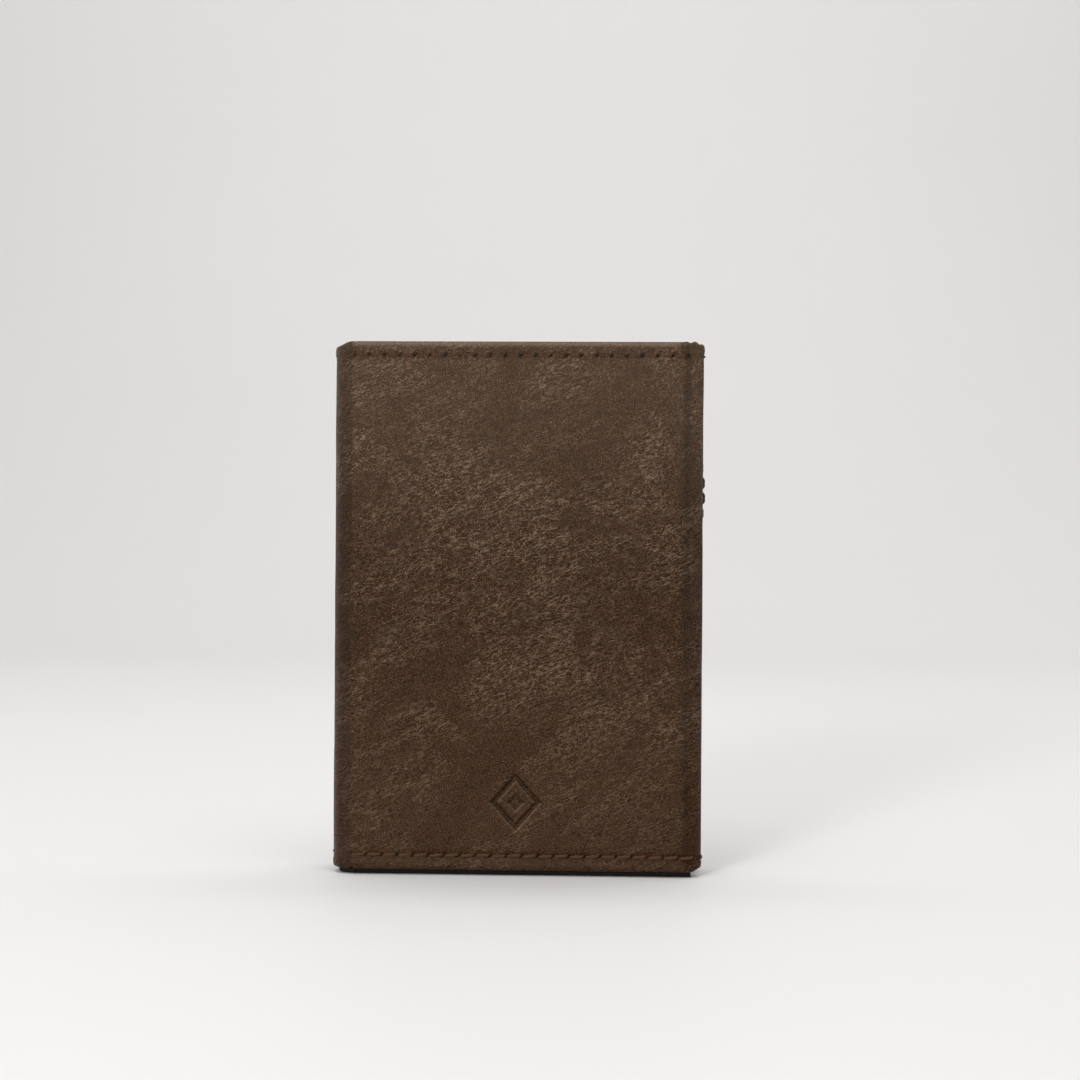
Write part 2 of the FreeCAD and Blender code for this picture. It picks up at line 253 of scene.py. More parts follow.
class Nodes:
    """A short way to lay out a node tree."""

    def __init__(self, name):
        self.material = bpy.data.materials.new(name)
        self.material.use_nodes = True
        self.tree = self.material.node_tree
        self.shader = self.tree.nodes["Principled BSDF"]

    def add(self, kind, settings=None, **inputs):
        node = self.tree.nodes.new(kind)
        for key, value in (settings or {}).items():
            setattr(node, key, value)
        for key, value in inputs.items():
            self.feed(node.inputs[key.replace("_", " ")], value)
        return node

    def feed(self, socket, value):
        if isinstance(value, bpy.types.NodeSocket):
            self.tree.links.new(value, socket)
        else:
            socket.default_value = value

    def math(self, operation, a, b=0.0, clamp=False):
        node = self.tree.nodes.new("ShaderNodeMath")
        node.operation = operation
        node.use_clamp = clamp
        self.feed(node.inputs[0], a)
        self.feed(node.inputs[1], b)
        return node.outputs[0]

    def mix(self, factor, a, b):
        node = self.tree.nodes.new("ShaderNodeMix")
        node.data_type = "RGBA"
        self.feed(node.inputs[0], factor)
        self.feed(node.inputs[6], a)
        self.feed(node.inputs[7], b)
        return node.outputs[2]

    def span(self, value, low, high, to_low=0.0, to_high=1.0):
        node = self.tree.nodes.new("ShaderNodeMapRange")
        node.interpolation_type = "SMOOTHSTEP"
        for i, v in enumerate((value, low, high, to_low, to_high)):
            self.feed(node.inputs[i], v)
        return node.outputs[0]

    def noise(self, vector, scale, detail=2.0, rough=0.5, distort=0.0):
        node = self.add("ShaderNodeTexNoise", None, Vector=vector, Scale=scale, Detail=detail,
                        Roughness=rough, Distortion=distort)
        return node.outputs["Fac"]

    def stretch(self, vector, scale, turn=0.0):
        """Features per millimetre along and across a direction turned this many degrees up."""
        node = self.tree.nodes.new("ShaderNodeMapping")
        node.vector_type = "TEXTURE"
        self.feed(node.inputs["Vector"], vector)
        node.inputs["Rotation"].default_value = (0, 0, math.radians(turn))
        node.inputs["Scale"].default_value = [1 / s for s in scale]
        return node.outputs[0]

    def shift(self, vector, colour, amount):
        """Moves a place by a noise colour, amount millimetres from dark to bright."""
        push = self.add("ShaderNodeVectorMath", {"operation": "SCALE"}, Vector=colour, Scale=amount)
        moved = self.tree.nodes.new("ShaderNodeVectorMath")
        moved.operation = "ADD"
        self.feed(moved.inputs[0], vector)
        self.feed(moved.inputs[1], push.outputs[0])
        return moved.outputs[0]

    def ridge(self, value, width):
        """Thin raised lines where a noise crosses its middle: 1 on the line, 0 width away."""
        off = self.math("ABSOLUTE", self.math("SUBTRACT", value, 0.5))
        return self.span(off, 0.0, width, 1.0, 0.0)

    def cells(self, vector, scale, width):
        """Rounded cells with creases between them: 0 in a crease, 1 on a cell."""
        node = self.add("ShaderNodeTexVoronoi", {"feature": "DISTANCE_TO_EDGE"},
                        Vector=vector, Scale=scale)
        return self.span(node.outputs["Distance"], 0.0, width)

    def bump(self, height, depth):
        """Raises the surface by a height of 0 to 1, depth millimetres deep."""
        node = self.add("ShaderNodeBump", None, Height=height)
        node.inputs["Distance"].default_value = depth * MM
        self.feed(self.shader.inputs["Normal"], node.outputs[0])
        return node

    def place(self):
        """Where a point lies on its own sheet, in millimetres."""
        return self.add("ShaderNodeAttribute", {"attribute_name": "grain"}).outputs["Vector"]


def rgb(r, g, b):
    """Linear colour from 8-bit sRGB."""
    out = []
    for v in (r, g, b):
        v /= 255
        out.append(v / 12.92 if v <= 0.04045 else ((v + 0.055) / 1.055) ** 2.4)
    return (*out, 1.0)


def leather_material(name, valley, ground, ridge, roughness, grain_depth, wrinkled=1.0):
    """Semi-gloss leather: pebbles everywhere, and creases that rise to the right in broad
    bands. Valleys are coloured darker than the tops: the grain's own tone, with painted shade
    in its hollows. A painted highlight in the ridge colour lies on crinkles, creases and pebble
    tops, and it grows towards the top edge. The leather is smoother low down, and its painted
    highlight is weaker there. The shade attribute paints shade, and below 0 a highlight."""
    n = Nodes(name)
    at = n.place()
    broad = n.add("ShaderNodeTexNoise", None, Vector=at, Scale=0.030, Detail=2.0).outputs["Color"]
    local = n.add("ShaderNodeTexNoise", None, Vector=at, Scale=0.42, Detail=2.0).outputs["Color"]
    warped = n.shift(at, broad, 7.0)
    warped = n.shift(warped, local, 0.6)
    bands = n.noise(n.stretch(warped, (0.026, 0.085, 1), 28), 1.0, 3.0, 0.60)
    bands = n.math("MULTIPLY", n.span(bands, 0.30, 0.74), wrinkled)
    height_up = n.add("ShaderNodeSeparateXYZ", None, Vector=at).outputs["Y"]
    # Grain relief and painted highlight are both weaker low down; a painted highlight is added
    # towards the top edge.
    grain_and_highlight_strength = n.span(height_up, 6.0, 64.0, 0.34, 1.0)
    highlight_towards_top = n.span(height_up, 58.0, 108.0, 0.0, 0.085)
    pebble = n.cells(n.stretch(warped, (1.0, 1.5, 1), 20), 1.75, 0.25)
    pores = n.noise(at, 4.2, 2.0, 0.5)
    crinkle = n.ridge(n.noise(n.stretch(warped, (0.50, 1.45, 1), 22), 1.0, 2.2, 0.55, 0.4), 0.042)
    crease = n.ridge(n.noise(n.stretch(warped, (0.20, 0.90, 1), 26), 1.0, 3.0, 0.60, 0.4), 0.026)
    crease = n.math("MULTIPLY", crease, n.span(bands, 0.0, 1.0, 0.12, 1.0))
    height = n.math("MULTIPLY", pebble, 0.80)
    height = n.math("ADD", height, n.math("MULTIPLY", crinkle, 0.35))
    height = n.math("ADD", height, n.math("MULTIPLY", crease, 0.90))
    height = n.math("ADD", height, n.math("MULTIPLY", pores, 0.35))
    # Pebble tops against the grain's hollows. The hollows are coloured darker: the grain's own
    # tone, with painted shade in them.
    worn = n.math("ADD", pebble, n.math("MULTIPLY", pores, 0.5))
    colour = n.mix(n.span(worn, 0.20, 1.25), valley, ground)
    # Painted highlight: crinkle lines in the bands, creases and pebble tops, mixed towards the
    # ridge colour and made glossier.
    speck_highlight = n.math("MULTIPLY", n.span(pebble, 0.5, 1.0), n.span(pores, 0.48, 0.66))
    crinkle_highlight = n.math("MULTIPLY", crinkle, n.span(bands, 0.0, 1.0, 0.04, 0.44))
    painted_highlight = n.math("ADD", crinkle_highlight, n.math("MULTIPLY", crease, 0.32))
    painted_highlight = n.math("ADD", painted_highlight, n.math("MULTIPLY", speck_highlight, 0.28))
    painted_highlight = n.math("ADD", n.math("MULTIPLY", painted_highlight, grain_and_highlight_strength), highlight_towards_top, clamp=True)
    colour = n.mix(painted_highlight, colour, ridge)
    # Painted shade from the shade attribute, towards a near-black brown; below 0 it paints a
    # highlight in the ridge colour.
    shade = n.add("ShaderNodeAttribute", {"attribute_name": "shade"}).outputs["Fac"]
    colour = n.mix(n.math("MULTIPLY", shade, 0.92, clamp=True), colour, rgb(14, 8, 5))
    colour = n.mix(n.math("MULTIPLY", shade, -1.0, clamp=True), colour, ridge)
    rough = n.math("SUBTRACT", roughness + 0.12, n.math("MULTIPLY", painted_highlight, 0.18))
    n.feed(n.bump(height, grain_depth).inputs["Strength"], grain_and_highlight_strength)
    n.feed(n.shader.inputs["Base Color"], colour)
    n.feed(n.shader.inputs["Roughness"], rough)
    n.shader.inputs["Specular IOR Level"].default_value = 0.22
    n.shader.inputs["Specular Tint"].default_value = (1.0, 0.80, 0.62, 1)
    return n.material


def thread_material(name, dark, light):
    """Twisted thread with a little fuzz."""
    n = Nodes(name)
    at = n.place()
    ply = n.add("ShaderNodeTexWave", {"wave_type": "BANDS", "bands_direction": "DIAGONAL"},
                Vector=at, Scale=1.6, Distortion=0.6, Detail=1.0).outputs["Fac"]
    fuzz = n.noise(at, 9.0, 2.0, 0.6)
    n.feed(n.shader.inputs["Base Color"], n.mix(n.math("MULTIPLY", ply, 0.8), dark, light))
    n.feed(n.shader.inputs["Roughness"], n.span(fuzz, 0.3, 0.7, 0.45, 0.65))
    n.bump(n.math("ADD", ply, n.math("MULTIPLY", fuzz, 0.3)), 0.05)
    n.shader.inputs["Specular IOR Level"].default_value = 0.2
    n.shader.inputs["Specular Tint"].default_value = (1.0, 0.82, 0.66, 1)
    return n.material


def board_material(name):
    """Black bonded leather board: matte, with short pressed fibres."""
    n = Nodes(name)
    at = n.place()
    fibre = n.noise(n.stretch(at, (1.2, 6.0, 1), 35), 1.0, 4.0, 0.65, 1.2)
    speck = n.noise(at, 4.0, 3.0, 0.6)
    n.feed(n.shader.inputs["Base Color"],
           n.mix(n.span(speck, 0.35, 0.75), rgb(13, 11, 10), rgb(27, 23, 21)))
    n.feed(n.shader.inputs["Roughness"], n.span(fibre, 0.3, 0.7, 0.62, 0.82))
    n.bump(n.math("ADD", fibre, n.math("MULTIPLY", speck, 0.5)), 0.06)
    n.shader.inputs["Specular IOR Level"].default_value = 0.25
    return n.material


def lining_material(name):
    """Black woven lining: a plain weave of about three threads to the millimetre."""
    n = Nodes(name)
    at = n.place()
    warp = n.add("ShaderNodeTexWave", {"wave_type": "BANDS", "bands_direction": "X"},
                 Vector=at, Scale=0.95, Distortion=0.25, Detail=1.0).outputs["Fac"]
    weft = n.add("ShaderNodeTexWave", {"wave_type": "BANDS", "bands_direction": "Y"},
                 Vector=at, Scale=0.95, Distortion=0.25, Detail=1.0).outputs["Fac"]
    weave = n.math("MAXIMUM", n.math("MULTIPLY", warp, 0.95), weft)
    slub = n.noise(n.stretch(at, (0.4, 5.0, 1)), 1.0, 2.0, 0.5)
    tone = n.math("MULTIPLY", weave, n.span(slub, 0.3, 0.7, 0.7, 1.0))
    n.feed(n.shader.inputs["Base Color"], n.mix(tone, rgb(9, 8, 8), rgb(36, 32, 31)))
    n.feed(n.shader.inputs["Roughness"], n.span(weave, 0.2, 1.0, 0.85, 0.6))
    n.bump(weave, 0.05)
    n.shader.inputs["Sheen Weight"].default_value = 0.08
    n.shader.inputs["Specular IOR Level"].default_value = 0.25
    return n.material


def film_material(name):
    """Clear flexible window film with faint rub marks."""
    n = Nodes(name)
    at = n.place()
    rub = n.noise(n.stretch(at, (0.15, 1.6, 1), 30), 1.0, 4.0, 0.7)
    wave = n.noise(at, 0.09, 2.0, 0.5)
    n.shader.inputs["Base Color"].default_value = (0.93, 0.95, 0.95, 1)
    n.shader.inputs["Transmission Weight"].default_value = 1.0
    n.shader.inputs["IOR"].default_value = 1.46
    n.feed(n.shader.inputs["Roughness"], n.span(rub, 0.5, 0.8, 0.03, 0.14))
    n.bump(wave, 0.2)
    return n.material


# Each leather's third colour, ridge, is the colour of its painted highlight.
OUTER = leather_material("outer_leather", rgb(25, 12, 2), rgb(65, 36, 14), rgb(176, 150, 126),
                         roughness=0.27, grain_depth=0.15)
POCKET = leather_material("pocket_leather", rgb(36, 19, 7), rgb(60, 37, 21), rgb(96, 73, 54),
                          roughness=0.34, grain_depth=0.06, wrinkled=0.4)
THREAD = thread_material("thread", rgb(56, 34, 20), rgb(106, 78, 56))
BOARD = board_material("black_board")
LINING = lining_material("black_lining")
FILM = film_material("clear_film")
SLOTS = {"pocket_leather": POCKET, "black_board": BOARD, "black_lining": LINING, "clear_film": FILM}


# ---- Seams: where the needle went, and what that does to the leather ----

def seam_places(x0, x1):
    """Middles of the stitches of a seam between x0 and x1."""
    count = int(round((x1 - x0) / PITCH))
    return x0 + (np.arange(count) + 0.5) * (x1 - x0) / count


TOP_ROW = seam_places(-34.2, 35.2)
LOW_ROW = seam_places(-34.3, 37.1)
BACK_TOP_ROW = seam_places(-34.2, 33.4)
BACK_LOW_ROW = seam_places(-36.4, 33.4)
REAR_ROW = seam_places(-33.4, 32.4)


def along_row(x, row):
    """1 along a row of stitches and 0 past its ends; and how many stitches along x is."""
    inside = ramp(x, row[0] - 3.2, row[0] - 1.4) * ramp(-x, -row[-1] - 3.2, -row[-1] - 1.4)
    return inside, (x - row[0]) / (row[1] - row[0])


def needle_holes(x, z, seam_z, row, slant=0.45, width=0.30, height=0.42):
    """1 in the slanted hole at each end of a stitch."""
    inside, phase = along_row(x, row)
    side = (phase - np.floor(phase) - 0.5) * (row[1] - row[0])
    return bell(side - slant * (z - seam_z), width) * bell(z - seam_z, height) * inside


def seam_relief(x, z, seam_z, row):
    """A shallow valley along a seam, a hole at each end of a stitch, and puckers beside it."""
    inside, phase = along_row(x, row)
    valley = -SEAM_DEPTH * bell(z - seam_z, 0.95) * inside
    pucker = 0.05 * (0.5 + 0.5 * np.cos(2 * np.pi * phase)) * bell(z - seam_z, 2.0) * inside
    relief = valley - pucker + 0.035 * bell(z - seam_z, 2.0) * inside
    return relief - 0.50 * needle_holes(x, z, seam_z, row)


def emblem_relief(x, z):
    """A plain lozenge outline with a small solid lozenge in it, pressed in."""
    reach = np.abs(x) / (EMBLEM_W / 2) + np.abs(z - EMBLEM_Z) / (EMBLEM_H / 2)
    scale = (EMBLEM_W / 2) * (EMBLEM_H / 2) / math.hypot(EMBLEM_W / 2, EMBLEM_H / 2)
    inside = (1 - reach) * scale                           # distance in from the outer line
    line = ramp(inside, -0.15, 0.22) * (1 - ramp(inside, EMBLEM_LINE - 0.1, EMBLEM_LINE + 0.3))
    heart = ramp(inside, 2.55, 2.95)
    dish = bell(x, 7.0) * bell(z - EMBLEM_Z, 8.0)
    return -0.55 * line - 0.45 * heart - 0.16 * dish


def skin_relief(u, z, seed, strength=1.0):
    """The soft unevenness of worn leather."""
    slow = coarse_field(u, z, 17.0, seed, 3.0)
    quick = coarse_field(u, z, 5.2, seed + 5, 1.1)
    small = coarse_field(u * 0.8 + z * 0.35, z, 1.9, seed + 9, 0.45)
    return strength * (0.10 * slow + 0.035 * quick + 0.012 * small)


def crown(x, z, x0, x1, height):
    """How far a panel's middle stands proud of its seams."""
    across = ramp(x, x0, x0 + 11) * ramp(-x, -x1, -x1 + 11)
    up = ramp(z, SEAM_LOW + 0.5, SEAM_LOW + 13) * ramp(-z, -SEAM_TOP + 0.5, -SEAM_TOP + 11)
    return height * across * up


def edge_lip(z):
    """The hem outside a seam is plumper than the seam."""
    return 0.20 * bell(z - (LEATHER_Z1 - 1.3), 0.9) + 0.12 * bell(z - (LEATHER_Z0 + 1.2), 0.8)


def front_relief(x, y, z, u):
    ahead = ramp(-y, -FRONT_Y - 1.6, -FRONT_Y - 0.5)       # 1 on the front face, 0 round the sides
    worn = skin_relief(u, z, 3.0)
    seams = seam_relief(x, z, SEAM_TOP, TOP_ROW) + seam_relief(x, z, SEAM_LOW, LOW_ROW)
    face = crown(x, z, -34, 36, 0.40) + emblem_relief(x, z)
    face = face + 0.16 * ramp(x, -35.0, -34.0) * ramp(-x, -36.2, -35.0) - 0.16 * bell(x + 35.2, 0.8)
    return worn + edge_lip(z) + ahead * face + seams * ramp(-y, -FRONT_Y - 2.6, -FRONT_Y - 1.2)


def front_shade(x, y, z, u):
    """Painted light on the outer leather. Painted shade: in the needle holes, the top seam's
    groove, the pressed emblem's lines and their walls that face down, and the bends at both
    sides where the leather turns from the light. Below 0 it is a painted highlight, along the
    top edge and on the emblem's walls that face up."""
    # Painted shade in the needle holes and along the top seam's groove.
    holes = needle_holes(x, z, SEAM_TOP, TOP_ROW)
    holes = holes + needle_holes(x, z, SEAM_LOW, LOW_ROW, width=0.36, height=0.5)
    groove = 0.22 * bell(z - SEAM_TOP, 0.5) * ramp(x, -36, -34) * ramp(-x, -37, -35.5)
    # Painted shade in the emblem's pressed lines and their walls that face down; lit is the painted
    # highlight on its walls that face up.
    slope = (emblem_relief(x, z + 0.12) - emblem_relief(x, z - 0.12)) / 0.24
    pressed = np.clip(-emblem_relief(x, z) - 0.18, 0, 1) * 0.55 + np.clip(slope * 0.5, 0, 0.6)
    lit = np.clip(-slope * 0.34, 0, 0.30)
    # Painted shade where the leather bends away from the light: round the left fold, and at the
    # right bend.
    crease = 0.35 * ramp(-x, 34.2, 35.0) * ramp(x, -38.0, -36.6) * ramp(-y, 4.0, 6.0)
    right_bend_shade = 0.38 * bell(x - 35.0, 0.9) * ramp(z, 1, 4)
    # Painted highlight along the top edge.
    painted_top_edge_highlight = -0.32 * bell(z - (LEATHER_Z1 - 0.55), 0.42) * ramp(x, -36, -33) * ramp(-x, -36, -32)
    return np.clip(holes + groove + pressed + crease + right_bend_shade, 0, 1) + painted_top_edge_highlight - lit


def rear_relief(x, y, z, u):
    behind = ramp(y, MIDDLE_REAR - 1.6, MIDDLE_REAR - 0.5)
    seams = seam_relief(x, z, SEAM_TOP, REAR_ROW) + seam_relief(x, z, SEAM_LOW, REAR_ROW)
    return skin_relief(u, z, 3.0, 0.8) + 0.6 * edge_lip(z) + behind * seams


def back_relief(x, y, z, u):
    behind = ramp(y, BACK_Y - 1.6, BACK_Y - 0.5)
    seams = seam_relief(x, z, SEAM_TOP, BACK_TOP_ROW) + seam_relief(x, z, SEAM_LOW, BACK_LOW_ROW)
    return skin_relief(u, z, 23.0) + edge_lip(z) + behind * (crown(x, z, -36, 33, 0.4) + seams)


def fold_bulge(z):
    """The right fold bulges a little past the front flap's edge, at two thirds of its height."""
    return BULGE * bell(z - BULGE_Z, BULGE_SPREAD)


def fold_relief(x, y, z, u):
    bulge = fold_bulge(z) * ramp(x, RIGHT_X - 3.0, RIGHT_X - 0.3)
    groove = -FOLD_GROOVE * bell(y - RIGHT_MID_Y, 0.7) * ramp(z, 7, 10) * ramp(-z, -104, -101)
    return skin_relief(u, z, 23.0) + edge_lip(z) + bulge + groove


def back_and_fold_relief(x, y, z, u):
    on_fold = x > RIGHT_X - 3.0
    return np.where(on_fold, fold_relief(x, y, z, u), back_relief(x, y, z, u))


SEAM_BANDS = [
    (SEAM_TOP - 1.5, SEAM_TOP + 1.5, 0.17),
    (SEAM_LOW - 1.5, SEAM_LOW + 1.5, 0.17),
    (LEATHER_Z1 - 2.2, LEATHER_Z1, 0.3),
    (LEATHER_Z0, LEATHER_Z0 + 2.2, 0.3),
]
EMBLEM_BAND = [(EMBLEM_Z - 6.6, EMBLEM_Z + 6.6, 0.24)]

# Sheet one: across the back of the middle panel, round the left fold, across the front
# flap and round its free end.
rear_line = [(RIGHT_X - REAR_IN, MIDDLE_REAR)]
rear_line += arc(LEFT_X + FOLD_A, LEFT_MID_Y, FOLD_A, MIDDLE_REAR - LEFT_MID_Y, 90, 180)
front_line = arc(LEFT_X + CORNER_A, LEFT_MID_Y, CORNER_A, LEFT_MID_Y - FRONT_Y, 180, 270)
roll_mid = FRONT_Y + ROLL_B
front_line += arc(FREE_X - ROLL_A, roll_mid, ROLL_A, ROLL_B, -90, 0)
front_line += arc(FREE_X - ROLL_END, roll_mid, ROLL_END, FRONT_IN - roll_mid, 0, 90, 20)


def fold_corner(x, y, z, u):
    """The leather drops a little where it goes round the left fold at the top."""
    return -0.80 * ramp(-x, 35.0, 38.2) * ramp(z, 96, 111)


def front_corners(x, y, z, u):
    """The fold's drop, and the easing of the free edge's corners."""
    top = ramp(z, 96, 111)
    low = ramp(-z, -7, -1)
    ripple = 0.16 * np.sin(x * 3.1 + 0.6) * ramp(x, 33.5, 35.5)
    free_drop = (-0.35 * ramp(x, 36.6, 38.4) + ripple) * top
    free_rise = 0.7 * ramp(x, 36.4, 38.5) * low
    notch = 0.5 * bell(x + 34.2, 0.45) * ramp(-z, -3.0, -1.2)
    return fold_corner(x, y, z, u) + free_drop + free_rise + notch


rear_cover, u_split = leather_sheet(
    "rear_cover", rear_line, 0.0, rear_relief, OUTER, SEAM_BANDS, 0.0,
    steps=lambda x: 0.4 if -33 < x < 33 else 0.3, lift=fold_corner)
front_cover, _ = leather_sheet(
    "front_cover", front_line, u_split, front_relief, OUTER, SEAM_BANDS + EMBLEM_BAND, 0.0,
    lift=front_corners, shade=front_shade)
bend(rear_cover)
bend(front_cover)
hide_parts("middle_leather")
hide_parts("front_leather")
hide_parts("left_fold_leather")

# Sheet two: a hem on the middle panel's pocket side, round the right fold, across the back
# flap and round its free end.
hem_line = [(RIGHT_X - HEM_IN, MIDDLE_FRONT)]
hem_line += arc(RIGHT_X - FOLD_A, RIGHT_MID_Y, FOLD_A, RIGHT_MID_Y - MIDDLE_FRONT, -90, 0)
back_line = arc(RIGHT_X - BACK_CORNER_A, RIGHT_MID_Y, BACK_CORNER_A, BACK_Y - RIGHT_MID_Y, 0, 90)
back_mid = BACK_Y - ROLL_B
back_line += arc(BACK_FREE_X + ROLL_A, back_mid, ROLL_A, ROLL_B, 90, 180)
back_line += arc(BACK_FREE_X + ROLL_END, back_mid, ROLL_END, back_mid - BACK_IN, 180, 270, 20)

right_hem, u_split = leather_sheet(
    "right_fold_hem", hem_line, 0.0, fold_relief, OUTER, SEAM_BANDS, 40.0, thick=HEM_SKIN)
back_cover, _ = leather_sheet(
    "back_cover", back_line, u_split, back_and_fold_relief, OUTER, SEAM_BANDS, 40.0)
bend(right_hem)
bend(back_cover)
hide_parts("back_leather")
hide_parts("right_fold_leather")


# ---- Thread ----

def stitch(at, along, out, length=2.5, radius=0.27, slant=0.14, rise=0.26, sink=0.38, seed=0.0):
    """One stitch of two-ply thread between two holes: points, faces and grain places."""
    at, along, out = np.array(at, float), np.array(along, float), np.array(out, float)
    over = np.cross(out, along)
    along = along + slant * over
    rings, sides = 13, 10
    t = np.linspace(-1, 1, rings)
    lift = -sink + (rise + sink) * (1 - np.abs(t) ** 2.6)
    reach = length / 2 * np.sin(t * math.pi / 2 * 0.97)
    size = radius * np.sqrt(np.clip(1 - np.abs(t) ** 6, 0.02, 1))
    verts, grain = [], []
    for i in range(rings):
        centre = at + along * reach[i] + out * lift[i]
        j, k = max(i - 1, 0), min(i + 1, rings - 1)
        run = along * (reach[k] - reach[j]) + out * (lift[k] - lift[j])
        run = run / np.linalg.norm(run)
        up = np.cross(run, over)
        up = up / np.linalg.norm(up)
        for s in range(sides):
            a = 2 * math.pi * s / sides
            ply = 1 + 0.16 * math.cos(2 * a - 3.2 * t[i] * math.pi)
            verts.append(centre + size[i] * ply * (math.cos(a) * over + math.sin(a) * up))
            grain.append((reach[i] + seed * 7.3, a * radius, seed))
    return verts, ring_faces(rings, sides), grain


def seam(name, body, stitches, node):
    """Rows of stitches as one piece. Each stitch is (at, along, out, options)."""
    verts, faces, grain = [], [], []
    for i, (at, along, out, options) in enumerate(stitches):
        v, f, g = stitch(at, along, out, seed=float(i), **options)
        faces += [tuple(k + len(verts) for k in face) for face in f]
        verts += v
        grain += g
    obj = new_object(name, verts, faces, grain, THREAD)
    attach(obj, body)
    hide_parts(node)


def outline_place(line, x):
    """The y and outward direction of an outline at an x on its flat or rolled front."""
    _, xs, ys, nx, ny = resample(line, lambda _: 0.1)
    i = int(np.argmin(np.abs(xs - x)))
    return ys[i], np.array([nx[i], ny[i], 0.0])


def cover_row(line, row, seam_z, jitter_seed, **options):
    """Stitches along an outline, each a little different."""
    made = []
    rng = np.random.default_rng(jitter_seed)
    for x in row:
        y, out = outline_place(line, x)
        along = np.array([-out[1], out[0], 0.0])
        opts = dict(options)
        opts["slant"] = options.get("slant", 0.10) + rng.normal(0, 0.03)
        opts["rise"] = options.get("rise", 0.2) + rng.normal(0, 0.02)
        made.append(((x, y, seam_z + rng.normal(0, 0.04)) - out * SEAM_DEPTH, along, out, opts))
    return made


def end_stitch(x, y, z, side, **options):
    """The stitch of a seam along X that lies where its leather turns the corner."""
    out = np.array([float(side), 0.0, 0.0])
    return (x, y, z), np.array([0.0, float(side), 0.0]), out, options


def upright(x, y, z, out, **options):
    """A stitch of a seam that runs up the wallet."""
    return (x, y, z), np.array([0.0, 0.0, 1.0]), np.array([*out, 0.0]), options


front_top = cover_row(front_line, TOP_ROW, SEAM_TOP, 1, rise=0.14, radius=0.22)
front_top.append(end_stitch(FREE_X, roll_mid, SEAM_TOP, 1, rise=0.10, radius=0.22))
seam("front_seam_top", "front_flap", front_top, "front_thread_top")
front_low = cover_row(front_line, LOW_ROW, SEAM_LOW, 2, rise=0.34, radius=0.33, length=2.7)
front_low.append(end_stitch(FREE_X, roll_mid, SEAM_LOW, 1, rise=0.08, radius=0.22))
seam("front_seam_bottom", "front_flap", front_low, "front_thread_bottom")

back_top = cover_row(back_line, BACK_TOP_ROW, SEAM_TOP, 3, rise=0.14, radius=0.23)
back_top.append(end_stitch(BACK_FREE_X, back_mid, SEAM_TOP, -1, rise=0.12, radius=0.23))
seam("back_seam_top", "back_flap", back_top, "back_thread_top")
back_low = cover_row(back_line, BACK_LOW_ROW, SEAM_LOW, 4, rise=0.22, radius=0.24)
back_low.append(end_stitch(BACK_FREE_X, back_mid, SEAM_LOW, -1, rise=0.2, radius=0.24))
seam("back_seam_bottom", "back_flap", back_low, "back_thread_bottom")

rear_rows = cover_row(rear_line, REAR_ROW, SEAM_TOP, 5, rise=0.14, radius=0.23)
rear_rows += cover_row(rear_line, REAR_ROW, SEAM_LOW, 6, rise=0.14, radius=0.23)
seam("middle_seam_rear", "middle", rear_rows, "middle_thread_rear")

left_ends = [end_stitch(LEFT_X, LEFT_MID_Y, z, -1, rise=-0.04, radius=0.18)
             for z in (SEAM_LOW, SEAM_TOP)]
seam("left_fold_seam", "left_fold", left_ends, "left_fold_thread")

# The seam up the outside of the right fold stands proud where the fold bulges.
right_rows = [end_stitch(RIGHT_X, RIGHT_MID_Y, z, 1, rise=0.2, radius=0.23)
              for z in (SEAM_LOW, SEAM_TOP)]
fold_rng = np.random.default_rng(8)
for z in np.arange(9.0, 103.0, PITCH):
    proud = fold_bulge(z) - FOLD_GROOVE
    right_rows.append(upright(RIGHT_X + proud, RIGHT_MID_Y, z, (1.0, 0.0), radius=0.25,
                              rise=0.26 + 0.12 * bell(z - BULGE_Z, 6.0),
                              slant=0.08 + fold_rng.normal(0, 0.02)))
seam("right_fold_seam", "right_fold", right_rows, "right_fold_thread")


# ---- Flat layers: board, lining, pocket leather, film and edging ----

def box_mm(node):
    low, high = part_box(node)
    return tuple((a / MM, b / MM) for a, b in zip(low, high))


